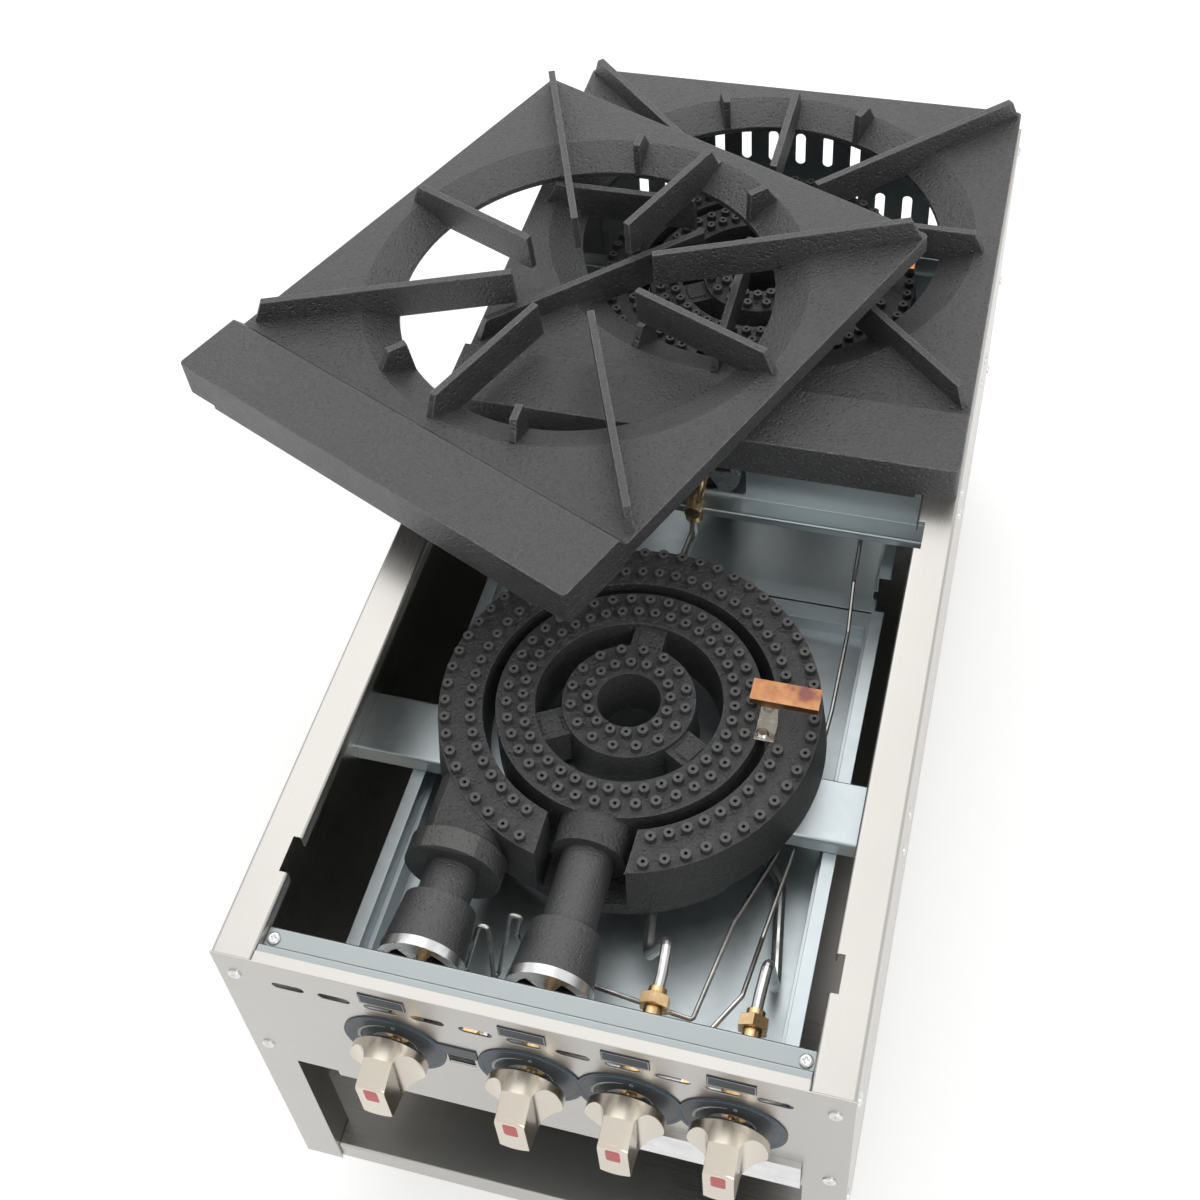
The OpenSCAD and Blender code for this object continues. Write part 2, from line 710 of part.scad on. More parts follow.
module knob_1() { knob_at(knob_xs[0]); }
module knob_2() { knob_at(knob_xs[1]); }
module knob_3() { knob_at(knob_xs[2]); }
module knob_4() { knob_at(knob_xs[3]); }

spindle_back = 26;
module spindle_at(x) {
    color("goldenrod") in_frame() {
        bar_y(x, axis_z, -knob_gap - 23.5, spindle_back - touch, spindle_d / 2);
    }
}

module spindle_1() { spindle_at(knob_xs[0]); }
module spindle_2() { spindle_at(knob_xs[1]); }
module spindle_3() { spindle_at(knob_xs[2]); }
module spindle_4() { spindle_at(knob_xs[3]); }

// Four brass cocks on the manifold; the first two end in the front orifices
module valves() {
    color("darkgoldenrod") in_frame()
        for (i = [0 : 3]) {
            x = knob_xs[i];
            difference() {
                union() {
                    bar_y(x, axis_z, 4, 14, 9);
                    bar_y(x, axis_z, 14, valve_end, 12.5);
                    translate([x, manifold_y, boss_z]) cylinder(r = 8, h = axis_z - boss_z);
                    bar_y(x, axis_z, valve_end, i < 2 ? 50 : nut_y[0] - touch, i < 2 ? 9.5 : 7);
                    if (i < 2) bar_y(jet_xs[i], axis_z, 50, shutter_y - 1.5, 4.5);
                }
                bar_y(x, axis_z, 3, spindle_back, spindle_d / 2 + spindle_fit);
                if (i < 2) bar_y(jet_xs[i], axis_z, 48, shutter_y, 1.2);
            }
        }
}

module manifold() {
    color("silver") in_frame() {
        bar_x(manifold_y, manifold_z, knob_xs[0] - 40, drop_x - supply_bend - 12, manifold_d / 2);
        bar_x(manifold_y, manifold_z, knob_xs[0] - 52, knob_xs[0] - 40, manifold_d / 2 + 3, $fn = 6);
        bar_x(manifold_y, manifold_z, drop_x - supply_bend - 22, drop_x - supply_bend - 6,
            manifold_d / 2 + 2);
        for (x = concat(knob_xs, pilot_xs))
            translate([x, manifold_y, manifold_z]) cylinder(r = 10, h = boss_z - manifold_z);
    }
}

// Runs from the manifold down and back to the threaded inlet behind the cabinet
module supply_pipe() {
    color("silver") in_frame() {
        bent_pipe([[drop_x - supply_bend - 6, manifold_y, manifold_z], [drop_x, manifold_y, manifold_z],
            [drop_x, manifold_y, supply_z], [supply_x, manifold_y, supply_z],
            [supply_x, cabinet_d + inlet_l - thread_l, supply_z]], inlet_d - 1, supply_bend);
        bar_y(supply_x, supply_z, cabinet_d + inlet_l - thread_l, cabinet_d + inlet_l, inlet_d / 2);
    }
}

module pipe_nuts() {
    color("darkgoldenrod") in_frame()
        for (x = [knob_xs[2], knob_xs[3]]) difference() {
            union() {
                translate([x, nut_y[0], axis_z]) rotate([-90, 30, 0])
                    cylinder(d = nut_w / cos(30), h = 9, $fn = 6);
                bar_y(x, axis_z, nut_y[0] + 9, nut_y[1], 7);
            }
            bar_y(x, axis_z, nut_y[1] - 3, nut_y[1] + 1, pipe_d / 2 + 0.1);
        }
}

module inner_gas_pipe() {
    color("lightgray") in_frame() bent_tube(inner_pipe_points, pipe_d, bend_r, 12);
}

module outer_gas_pipe() {
    color("lightgray") in_frame() bent_tube(outer_pipe_points, pipe_d, bend_r, 12);
}

// Elbows with the jets of the rear burner, reaching through the partition's notch
module rear_orifices() {
    y = elbow_y;
    tip = shutter_y + burner_pitch - 1.5;
    color("darkgoldenrod") in_frame()
        for (x = jet_xs) difference() {
            union() {
                translate([x, y, elbow_foot]) cylinder(r = 8, h = 6);
                translate([x, y, elbow_foot + 6]) cylinder(r = 6.5, h = 8);
                bar_y(x, axis_z, y - 8, y + 8, 7.5);
                bar_y(x, axis_z, y + 8, y + 24, 5.5);
                bar_y(x, axis_z, y + 24, tip, 4.5);
            }
            bar_y(x, axis_z, tip - 8, tip + 1, 1.2);
        }
}

module pilot_valves() {
    color("darkgoldenrod") in_frame()
        for (x = pilot_xs) {
            translate([x, manifold_y, boss_z]) cylinder(r = 6, h = 14);
            bar_y(x, pilot_z, 12, 44, 5);
            bar_y(x, pilot_z, 44, 50, 3.5);
        }
}

module front_pilot_tube() {
    color("gray") in_frame() bent_tube(front_pilot_points, pilot_d, loop_r, 8);
}

module rear_pilot_tube() {
    color("gray") in_frame() bent_tube(rear_pilot_points, pilot_d, 6, 8);
}

// Strip that bridges the two rings beside the pilot flame, its burner on the riser
module pilot_bracket_shape() {
    z = ring_top;
    t = 1.2;
    block([106, -15, z], [122, 4, z + t]);
    block([106, 4, z], [122, 4 + t, z + 20]);
    translate([112, -9, z + t]) pan_screw(t - 0.1);
    translate([114.3, 9.6, z + 6]) cylinder(r = 3.6, h = 18);
}

module pilot_brackets() {
    color("silver") in_frame()
        for (y = burner_ys) translate([burner_x, y, 0]) pilot_bracket_shape();
}

// Folded copper cover over the pilot flame
module pilot_hood_shape() {
    x = hood_at[0];
    z = rail_top + hood_at[2];
    block([x + 4, hood_at[1], z - 1], [x + 59, hood_at[1] + 20, z]);
    block([x + 4, hood_at[1], z - 6], [x + 59, hood_at[1] + 1, z]);
    block([x + 11, hood_at[1] + 1.7, z - 11], [x + 27, hood_at[1] + 2.7, z]);
}

module pilot_hoods() {
    color("peru") in_frame()
        for (y = burner_ys) translate([burner_x, y, 0]) pilot_hood_shape();
}

// Hollow ring of a burner, its top at z = 0, drawn through one sweep
module ring_body(r, band, draft, start = 0, sweep = 360) {
    rotate([0, 0, start]) rotate_extrude(angle = sweep, $fn = 96)
        polygon([[r - band, 0], [r, 0], [r + draft, -ring_h], [r - band - 2, -ring_h]]);
}

module ring_channel(r, band, draft, start = 0, sweep = 360) {
    w = cast_wall;
    rotate([0, 0, start]) rotate_extrude(angle = sweep, $fn = 96)
        polygon([[r - band + w, -w], [r - w, -w], [r + draft - w - 1, w - ring_h],
            [r - band + w - 1, w - ring_h]]);
}

function in_gap(r, a) = abs(r * cos(a)) < ring_gap / 2 + nozzle_d / 2 + 1.5 && sin(a) < 0;
function by_pilot(r, a) = r < 140 && r > 120 && cos(a) > 0 && abs(a - 2.5) < 11;
function nozzle_angles(row, gapped) = [for (i = [0 : row[1] - 1])
    let (a = (row[2] + i * 360 / row[1] + 180) % 360 - 180)
    if (!gapped || !(in_gap(row[0], a) || by_pilot(row[0], a))) a];

module nozzle_feet(rows, gapped) {
    for (row = rows, a = nozzle_angles(row, gapped)) rotate([0, 0, a]) translate([row[0], 0, -0.5])
        cylinder(r1 = nozzle_d / 2, r2 = nozzle_d / 2 - 0.5, h = nozzle_h + 0.5, $fn = 24);
}

module nozzle_jets(rows, gapped) {
    for (row = rows, a = nozzle_angles(row, gapped)) rotate([0, 0, a])
        translate([row[0], 0, -cast_wall - 1])
            cylinder(d = jet_d, h = nozzle_h + cast_wall + 2, $fn = 16);
}

// Outer ring: open at the front for the inner mixer, joined below by a belly duct
module outer_ring_shape() {
    gap = asin(ring_gap / 2 / (outer_r - outer_band));
    wall = asin((ring_gap / 2 + cast_wall) / (outer_r - outer_band));
    mouth_y = -167.5;
    difference() {
        union() {
            ring_body(outer_r, outer_band, ring_draft);
            rotate([0, 0, 222]) rotate_extrude(angle = 92, $fn = 96)
                polygon([[outer_r - 33, -ring_h + 3], [outer_r - 2, -ring_h + 3],
                    [outer_r - 8, -belly_drop], [outer_r - 28, -belly_drop]]);
            difference() {
                bar_y(-mixer_pitch, ring_drop - axis_drop, mouth_y + 16, -96, 33);
                block([-mixer_pitch - 40, mouth_y, -1], [-mixer_pitch + 40, -80, 20]);
            }
            bar_y(-mixer_pitch, ring_drop - axis_drop, mouth_y, mouth_y + 18, outer_collar_r);
            nozzle_feet(outer_rows, true);
        }
        ring_channel(outer_r, outer_band, ring_draft, 270 + wall, 360 - 2 * wall);
        block([-ring_gap / 2, -outer_r - 20, -gap_depth], [ring_gap / 2, -outer_r + outer_band + 12, 20]);
        cylinder(r = outer_r - outer_band - 2.5, h = 200, center = true, $fn = 96);
        bar_y(-mixer_pitch, ring_drop - axis_drop, mouth_y - 1, -110, mixer_d / 2);
        nozzle_jets(outer_rows, true);
    }
}

// Middle ring and hub, tied by three padded spokes
module inner_ring_shape() {
    mouth_y = -132.5;
    difference() {
        union() {
            ring_body(middle_r, middle_band, 2);
            ring_body(hub_r, hub_band, 2);
            for (a = [90, 210, 330]) rotate([0, 0, a]) {
                block([hub_r - 8, -spoke_w / 2, -ring_h + 6], [middle_r - middle_band + 4, spoke_w / 2, -5]);
                block([hub_r + 3, -pad_w / 2, -6], [middle_r - middle_band - 3, pad_w / 2, -3.8]);
            }
            difference() {
                bar_y(0, ring_drop - axis_drop, mouth_y, -middle_r + 14, collar_r);
                block([-40, -middle_r + 1, -0.5], [40, 0, 20]);
            }
            nozzle_feet(concat(middle_rows, hub_rows), false);
        }
        ring_channel(middle_r, middle_band, 2);
        ring_channel(hub_r, hub_band, 2);
        cylinder(r = hub_r - hub_band - 2.5, h = 200, center = true);
        bar_y(0, ring_drop - axis_drop, mouth_y - 1, -middle_r + 8, mixer_d / 2);
        nozzle_jets(concat(middle_rows, hub_rows), false);
    }
}

module front_outer_ring() {
    color("#2b2b2b") in_frame() translate([burner_x, burner_ys[0], ring_top]) outer_ring_shape();
}

module rear_outer_ring() {
    color("#2b2b2b") in_frame() translate([burner_x, burner_ys[1], ring_top]) outer_ring_shape();
}

module front_inner_ring() {
    color("#303030") in_frame() translate([burner_x, burner_ys[0], ring_top]) inner_ring_shape();
}

module rear_inner_ring() {
    color("#303030") in_frame() translate([burner_x, burner_ys[1], ring_top]) inner_ring_shape();
}

// Three air windows cut through a disc from z0 to z1, first one at the given angle
module air_windows(first, z0, z1) {
    for (k = [0 : 2]) rotate([0, 0, first + 120 * k])
        rotate_extrude(angle = window_sweep) translate([window_r[0], z0])
            square([window_r[1] - window_r[0], z1 - z0]);
}

// Cast mixer tube, its mouth at z = 0 and the ring end up
module mixer_shape(end) {
    r = mouth_d / 2;
    b = r - 3.5;
    t = mixer_d / 2;
    w = mixer_wall;
    collar = end - socket_l;
    difference() {
        rotate_extrude() polygon([[0, 0], [r, 0], [r, mouth_l], [b, bell_l], [t, bell_l + 1],
            [t, collar], [t - 0.4, end], [t - w, end], [t - w, bell_l], [r - w - 3, mouth_l],
            [r - w, w], [0, w]]);
        translate([0, 0, -1]) cylinder(r = 6.5, h = w + 2);
        air_windows(window_first, -1, w + 1);
    }
}

module mixer_at(dx, y, end) {
    color("#353535") in_frame()
        translate([burner_x + dx, y, axis_z]) rotate([-90, 0, 0]) mixer_shape(end);
}

mixer_y = shutter_y + shutter_t + shutter_fit;
module front_inner_mixer() { mixer_at(0, mixer_y, inner_mixer_end); }
module rear_inner_mixer() { mixer_at(0, mixer_y + burner_pitch, inner_mixer_end); }
module front_outer_mixer() { mixer_at(-mixer_pitch, mixer_y, outer_mixer_end); }
module rear_outer_mixer() { mixer_at(-mixer_pitch, mixer_y + burner_pitch, outer_mixer_end); }

// Rimmed cap that turns on the mixer's mouth to open or close its windows
module shutter_shape() {
    r = mouth_d / 2 + shutter_fit;
    difference() {
        cylinder(r = r + sheet, h = shutter_rim);
        translate([0, 0, shutter_t]) cylinder(r = r, h = shutter_rim);
        translate([0, 0, -1]) cylinder(r = 6.5, h = 5);
        air_windows(window_first, -1, shutter_t + 1);
    }
}

module shutter_at(dx, y) {
    color("silver") in_frame() translate([burner_x + dx, y, axis_z]) rotate([-90, 0, 0]) shutter_shape();
}

module front_inner_shutter() { shutter_at(0, shutter_y); }
module rear_inner_shutter() { shutter_at(0, shutter_y + burner_pitch); }
module front_outer_shutter() { shutter_at(-mixer_pitch, shutter_y); }
module rear_outer_shutter() { shutter_at(-mixer_pitch, shutter_y + burner_pitch); }

// One cast grate's plate, its front left corner at the origin and its foot at z = 0
module grate_shape() {
    w = grate_wall;
    cx = grate_w / 2;
    cy = flame_y;
    skirt = 6;
    lip_x = rail_w + 3;
    lip = 4.5;
    corner = 5;
    difference() {
        union() {
            difference() {
                rotate([90, 0, 90]) linear_extrude(grate_w)
                    polygon([[0, 0], [0, ledge_top], [ledge_d, ledge_top], [crease_y, plate_top],
                        [grate_d, plate_top], [grate_d, skirt], [crease_y, skirt], [ledge_d, 0]]);
                translate([w, 0, 0]) rotate([90, 0, 90]) linear_extrude(grate_w - 2 * w)
                    polygon([[w, -1], [w, ledge_top - w], [ledge_d - 3, ledge_top - w],
                        [crease_y - 3, plate_top - w], [grate_d - w, plate_top - w], [grate_d - w, -1]]);
                translate([cx, cy, 0]) cylinder(r = cone_r, h = 60, $fn = 96);
            }
            block([lip_x, 0, -lip], [grate_w - lip_x, w, 1]);
            for (x = [4, grate_w - 30]) block([x, grate_d - 30, 0], [x + 26, grate_d - 4, plate_top - 2]);
            translate([cx, cy, 0]) {
                rotate_extrude($fn = 96) polygon([[flame_r, 2.5], [flame_r, 8], [cone_r, plate_top],
                    [cone_r + 4, plate_top], [cone_r + 4, plate_top - w], [cone_r + 2, plate_top - w]]);
            }
        }
        for (x = [0, 1], y = [0, 1]) translate([x * grate_w, y * grate_d, 0])
            mirror([x, 0, 0]) mirror([0, y, 0]) difference() {
                block([-1, -1, -10], [corner, corner, 60]);
                translate([corner, corner, -11]) cylinder(r = corner, h = 80);
            }
    }
}

// Ribs of one grate: they stand on the cone and the plate and meet them face to face
module grate_ribs_shape() {
    cx = grate_w / 2;
    cy = flame_y;
    front = crease_y + 10 - cy;
    end_x = 5;
    tip = 9.4;
    rib_ends = [[end_x - cx, front], [cx - end_x, front], [end_x - cx, grate_d - end_x - cy],
        [cx - end_x, grate_d - end_x - cy], [13 - cx, 0], [cx - 13, 0], [0, front], [0, grate_d - 20 - cy]];
    foot = plate_top - 8;
    foot_r = flame_r + (cone_r - flame_r) * (foot - 8) / (plate_top - 8);
    translate([cx, cy, 0]) {
        for (e = rib_ends) rotate([0, 0, atan2(e[1], e[0])]) translate([0, rib_t / 2, 0])
            rotate([90, 0, 0]) linear_extrude(rib_t)
                polygon([[rib_eye, 8.3], [rib_eye + 1, rib_top], [norm(e) - tip, rib_top],
                    [norm(e), plate_top], [cone_r, plate_top], [flame_r, 8.3]]);
        for (a = [67.5, 112.5, 247.5, 292.5]) rotate([0, 0, a]) translate([0, rib_t / 2, 0])
            rotate([90, 0, 0]) linear_extrude(rib_t)
                polygon([[flame_r, 8], [flame_r + 3, rib_top - 3.5], [flame_r + 21, rib_top - 3.5],
                    [flame_r + 31, plate_top - 0.2], [foot_r, foot]]);
    }
}

module rear_grate_place() {
    in_frame() translate([-grate_w / 2, grate_front_y + grate_pitch, rail_top]) children();
}

// Lifted off its place and laid across the rear grate
module front_grate_place() {
    in_frame() translate([askew_at[0], askew_at[1], rail_top + askew_at[2]]) rotate(askew_turn) children();
}

module rear_grate() { color("#2e2e2e") rear_grate_place() grate_shape(); }
module rear_grate_ribs() { color("#2e2e2e") rear_grate_place() grate_ribs_shape(); }
module front_grate() { color("#333333") front_grate_place() grate_shape(); }
module front_grate_ribs() { color("#333333") front_grate_place() grate_ribs_shape(); }

module panel_screws() {
    color("silver") in_frame() {
        for (s = [-1, 1], drop = screw_drops)
            translate([s * (half_w - screw_inset), 0, rail_top - drop]) rotate([90, 0, 0]) pan_screw(6);
        for (s = [-1, 1])
            translate([s * (half_w - rail_w - touch - 6), 24, rail_top - sheet - 8.4]) pan_screw(6);
    }
}

module side_screws() {
    color("silver") in_frame() for (s = [-1, 1], place = side_screw_places)
        translate([s * half_w, place[0], place[1]]) rotate([0, s * 90, 0]) pan_screw(6);
}

side_panel_left();
side_panel_right();
front_panel();
front_crossbar();
partition_rail();
back_panel();
base_shelf();
front_tray();
rear_tray();
tray_rests();
front_burner_rail();
rear_burner_rail();
leg_sockets();
foot_front_left();
foot_front_right();
foot_rear_left();
foot_rear_right();
bezel_plate();
label_plates();
nameplate();
knob_1();
knob_2();
knob_3();
knob_4();
spindle_1();
spindle_2();
spindle_3();
spindle_4();
valves();
manifold();
supply_pipe();
pipe_nuts();
inner_gas_pipe();
outer_gas_pipe();
rear_orifices();
pilot_valves();
front_pilot_tube();
rear_pilot_tube();
pilot_brackets();
pilot_hoods();
front_outer_ring();
front_inner_ring();
rear_outer_ring();
rear_inner_ring();
front_outer_mixer();
front_inner_mixer();
rear_outer_mixer();
rear_inner_mixer();
front_outer_shutter();
front_inner_shutter();
rear_outer_shutter();
rear_inner_shutter();
front_grate();
front_grate_ribs();
rear_grate();
rear_grate_ribs();
panel_screws();
side_screws();
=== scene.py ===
"""Looks of the stock pot stove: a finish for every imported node, and the small pieces worked out here."""

import bmesh
import bpy
import numpy as np
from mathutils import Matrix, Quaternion, Vector


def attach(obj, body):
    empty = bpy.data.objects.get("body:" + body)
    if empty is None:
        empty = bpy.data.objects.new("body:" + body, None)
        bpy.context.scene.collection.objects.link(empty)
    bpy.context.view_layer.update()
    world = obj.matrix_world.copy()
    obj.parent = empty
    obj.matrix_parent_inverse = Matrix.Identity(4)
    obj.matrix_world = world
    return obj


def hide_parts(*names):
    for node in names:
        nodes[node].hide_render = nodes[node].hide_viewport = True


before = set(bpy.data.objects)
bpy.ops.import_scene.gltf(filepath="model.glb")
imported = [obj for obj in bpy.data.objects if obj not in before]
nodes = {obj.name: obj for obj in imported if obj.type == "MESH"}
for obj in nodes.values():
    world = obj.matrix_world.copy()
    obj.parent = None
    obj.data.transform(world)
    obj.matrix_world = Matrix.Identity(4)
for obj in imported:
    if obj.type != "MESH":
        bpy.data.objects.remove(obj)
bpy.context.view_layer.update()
scene = bpy.context.scene

# The cabinet's own measure, in millimetres from its middle plane, its control panel and the floor.
# The middle plane and the panel, as they stand in the row's frame:
MIDDLE, PANEL = 113.575, -513.5
RAIL_TOP = 471.0
KNOB_AXIS_Z = 388.0
KNOB_XS = (-102.2, 0.0, 73.0, 145.9)
# From a front burner's part to the same part of the rear one
BURNER_PITCH = 525.9
# The outer face of a side panel, right of the middle
SIDE_FACE_X = 228.5

# Where the dial plate's and the labels' faces stand before the panel, and how thick a print is
DIAL_FACE_Y, LABEL_FACE_Y = -0.96, -0.76
PRINT_THICK = 0.12


def in_frame(points):
    """Cabinet millimetres to the row's metres: a shift to the row's origin, then a thousandth."""
    return (np.asarray(points, float) + (MIDDLE, PANEL, 0.0)) / 1000


# Shapes


def quads_of(rows, cols):
    """Faces of a grid that closes round its columns: neighbours in rows and columns share a quad."""
    u, v = np.arange(rows - 1)[:, None], np.arange(cols)[None, :]
    w = (v + 1) % cols
    return np.stack([u * cols + v, u * cols + w, (u + 1) * cols + w, (u + 1) * cols + v], -1).reshape(-1, 4)


def build(name, points, faces, finish, body):
    """Points and faces put into an object at the origin, its doubles merged and its faces turned outwards."""
    mesh = bpy.data.meshes.new(name)
    mesh.from_pydata(in_frame(points).tolist(), [], np.asarray(faces).tolist())
    work = bmesh.new()
    work.from_mesh(mesh)
    bmesh.ops.remove_doubles(work, verts=work.verts, dist=2e-6)
    bmesh.ops.dissolve_degenerate(work, edges=work.edges, dist=1e-7)
    bmesh.ops.recalc_face_normals(work, faces=work.faces)
    work.to_mesh(mesh)
    work.free()
    piece = bpy.data.objects.new(name, mesh)
    scene.collection.objects.link(piece)
    mesh.materials.append(finish)
    mesh.shade_smooth()
    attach(piece, body)
    return piece


def skin(name, grid, finish, body):
    """A closed mesh over a grid of points, whose last column joins the first."""
    rows, cols = grid.shape[:2]
    return build(name, grid.reshape(-1, 3), quads_of(rows, cols), finish, body)


def copies(points, faces, places):
    """One pattern of points repeated: every place adds its own offset, and the faces count on."""
    count = len(points)
    every = (points[None] + np.asarray(places, float)[:, None]).reshape(-1, 3)
    return every, (faces[None] + (np.arange(len(places)) * count)[:, None, None]).reshape(-1, faces.shape[1])


def full_turn():
    """The angles of a circle whose last point is its first."""
    turn = np.linspace(0, 2 * np.pi, 97)
    turn[-1] = 0.0
    return turn


def smooth_step(x, low, high):
    """0 below low, 1 above high, and a cubic ease between them: three squares less two cubes of the share."""
    t = np.clip((x - low) / (high - low), 0, 1)
    return t * t * (3 - 2 * t)


def flat_band(centre, across, thick):
    """A printed band: a thin rectangle carried along a line, whose points each give a half width vector."""
    front = np.array([0.0, -thick, 0.0])
    return np.stack([centre - across, centre - across + front, centre + across + front, centre + across], 1)


def round_band(x, y, z, angle, radius, half, tall=1.0):
    """A band round a middle: its line is the radius times cosine and sine of the angle, the sine made
    taller, and its half width points the same way. Gives the line, the half widths and the thickness."""
    way = np.stack([np.cos(angle), 0 * angle, tall * np.sin(angle)], -1)
    return np.array([x, y, z]) + radius * way, np.broadcast_to(half, angle.shape)[:, None] * way, PRINT_THICK


# Finishes


# Most of a noise's values lie within the first pair, and nearly all within the second
MOST, NEARLY_ALL = (0.3, 0.7), (0.25, 0.75)


def tinted(colour, factor):
    """A colour made darker or lighter by a factor, no channel over 1."""
    return tuple(min(1, factor * c) for c in colour)


class Finish:
    """One node tree with a Principled shader, and short calls that add nodes to it."""

    def __init__(self, name, colour, metallic, roughness, **sockets):
        self.material = bpy.data.materials.new(name)
        self.material.use_nodes = True
        self.tree = self.material.node_tree
        self.tree.nodes.clear()
        self.shader = self.add("ShaderNodeBsdfPrincipled")
        out = self.add("ShaderNodeOutputMaterial")
        self.join(self.shader.outputs["BSDF"], out.inputs["Surface"])
        self.shader.inputs["Base Color"].default_value = (*colour, 1)
        self.shader.inputs["Metallic"].default_value = metallic
        self.shader.inputs["Roughness"].default_value = roughness
        for key, value in sockets.items():
            self.shader.inputs[key.replace("_", " ")].default_value = value
        self.place = self.add("ShaderNodeTexCoord").outputs["Object"]

    def add(self, kind, **settings):
        node = self.tree.nodes.new(kind)
        for key, value in settings.items():
            setattr(node, key, value)
        return node

    def join(self, a, b):
        self.tree.links.new(a, b)

    def noise(self, scale, detail=4.0, rough=0.6, stretch=(1, 1, 1)):
        """Cloudy noise of object coordinates; scale counts features in a metre, and a stretch below 1 draws
        them out."""
        spread = self.add("ShaderNodeMapping")
        spread.inputs["Scale"].default_value = stretch
        self.join(self.place, spread.inputs["Vector"])
        cloud = self.add("ShaderNodeTexNoise")
        cloud.inputs["Scale"].default_value = scale
        cloud.inputs["Detail"].default_value = detail
        cloud.inputs["Roughness"].default_value = rough
        self.join(spread.outputs["Vector"], cloud.inputs["Vector"])
        return cloud.outputs["Fac"]

    def cells(self, scale, out="Distance"):
        """Cells of object coordinates: how far a cell's middle is, or its colour; scale counts cells in a
        metre."""
        cell = self.add("ShaderNodeTexVoronoi", feature="F1")
        cell.inputs["Scale"].default_value = scale
        self.join(self.place, cell.inputs["Vector"])
        return cell.outputs[out]

    def height(self, low, high):
        """0 below one height of the row's frame and 1 above another, in metres."""
        parts = self.add("ShaderNodeSeparateXYZ")
        self.join(self.place, parts.inputs[0])
        return self.spread(parts.outputs["Z"], low, high)

    def spread(self, value, low, high, to_low=0.0, to_high=1.0):
        """A value moved from one range to another, clamped."""
        node = self.add("ShaderNodeMapRange")
        for key, number in (("From Min", low), ("From Max", high), ("To Min", to_low), ("To Max", to_high)):
            node.inputs[key].default_value = number
        self.join(value, node.inputs["Value"])
        return node.outputs["Result"]

    def maths(self, kind, a, b):
        """Two values added, multiplied or compared; each is a number or a socket."""
        node = self.add("ShaderNodeMath", operation=kind)
        for socket, value in zip(node.inputs, (a, b)):
            if isinstance(value, (int, float)):
                socket.default_value = value
            else:
                self.join(value, socket)
        return node.outputs[0]

    def mix(self, share, a, b):
        """Two colours mixed by a share; each is a colour or a socket."""
        node = self.add("ShaderNodeMix", data_type="RGBA")
        self.join(share, node.inputs["Factor"])
        first_colour, second_colour, mixed = 6, 7, 2
        for key, value in ((first_colour, a), (second_colour, b)):
            if isinstance(value, tuple):
                node.inputs[key].default_value = (*value, 1)
            else:
                self.join(value, node.inputs[key])
        return node.outputs[mixed]

    def rounded(self, radius):
        """The normal over edges rounded by a small radius."""
        soft = self.add("ShaderNodeBevel", samples=6)
        soft.inputs["Radius"].default_value = radius
        return soft.outputs["Normal"]

    def edges(self, radius, low=0.86, high=0.995):
        """1 near an edge and 0 on flats: how far the rounded normal leans from the true one."""
        true = self.add("ShaderNodeNewGeometry")
        lean = self.add("ShaderNodeVectorMath", operation="DOT_PRODUCT")
        self.join(self.rounded(radius), lean.inputs[0])
        self.join(true.outputs["True Normal"], lean.inputs[1])
        return self.spread(lean.outputs["Value"], low, high, 1.0, 0.0)

    def bump(self, height, depth, strength, rounding):
        """Bump of a height socket, its depth in metres, over edges rounded by a small radius."""
        node = self.add("ShaderNodeBump")
        node.inputs["Strength"].default_value = strength
        node.inputs["Distance"].default_value = depth
        self.join(height, node.inputs["Height"])
        self.join(self.rounded(rounding), node.inputs["Normal"])
        self.join(node.outputs["Normal"], self.shader.inputs["Normal"])

    def colour(self, socket):
        self.join(socket, self.shader.inputs["Base Color"])

    def rough(self, socket):
        self.join(socket, self.shader.inputs["Roughness"])


def drawn_along(axis, along, across):
    """The stretch of a noise: one share along an axis and another across it."""
    return tuple(along if axis == other else across for other in "xyz")


def brushed_sheet(name, colour, along, roughness=0.3):
    """Brushed sheet: noise drawn out along the grain lines, in tone, roughness and bump."""
    f = Finish(name, colour, metallic=1.0, roughness=roughness)
    grain = f.noise(2600, detail=3, rough=0.7, stretch=drawn_along(along, 0.008, 1.0))
    cloud = f.noise(7, detail=3)
    f.colour(f.mix(f.spread(grain, *NEARLY_ALL), tinted(colour, 0.955), tinted(colour, 1.03)))
    lines = f.spread(grain, *MOST, roughness - 0.03, roughness + 0.04)
    f.rough(f.maths("ADD", lines, f.spread(cloud, *MOST, -0.03, 0.03)))
    f.bump(grain, depth=0.000012, strength=0.3, rounding=0.0008)
    return f.material


def galvanised_sheet(name, colour, roughness):
    """Zinc sheet: fine spangles barely a shade apart, a faint roll grain and cloudy roughness."""
    f = Finish(name, colour, metallic=1.0, roughness=roughness)
    tone = f.add("ShaderNodeSeparateColor")
    f.join(f.cells(160, out="Color"), tone.inputs["Color"])
    cloud = f.noise(9)
    shade = f.maths("ADD", f.maths("MULTIPLY", tone.outputs[0], 0.3), f.maths("MULTIPLY", cloud, 0.7))
    f.colour(f.mix(f.spread(shade, *NEARLY_ALL), tinted(colour, 0.965), tinted(colour, 1.025)))
    f.rough(f.spread(shade, *NEARLY_ALL, roughness - 0.03, roughness + 0.05))
    roll_grain = f.noise(700, detail=3, stretch=drawn_along("y", 0.03, 1))
    f.bump(roll_grain, depth=0.000015, strength=0.3, rounding=0.0008)
    return f.material


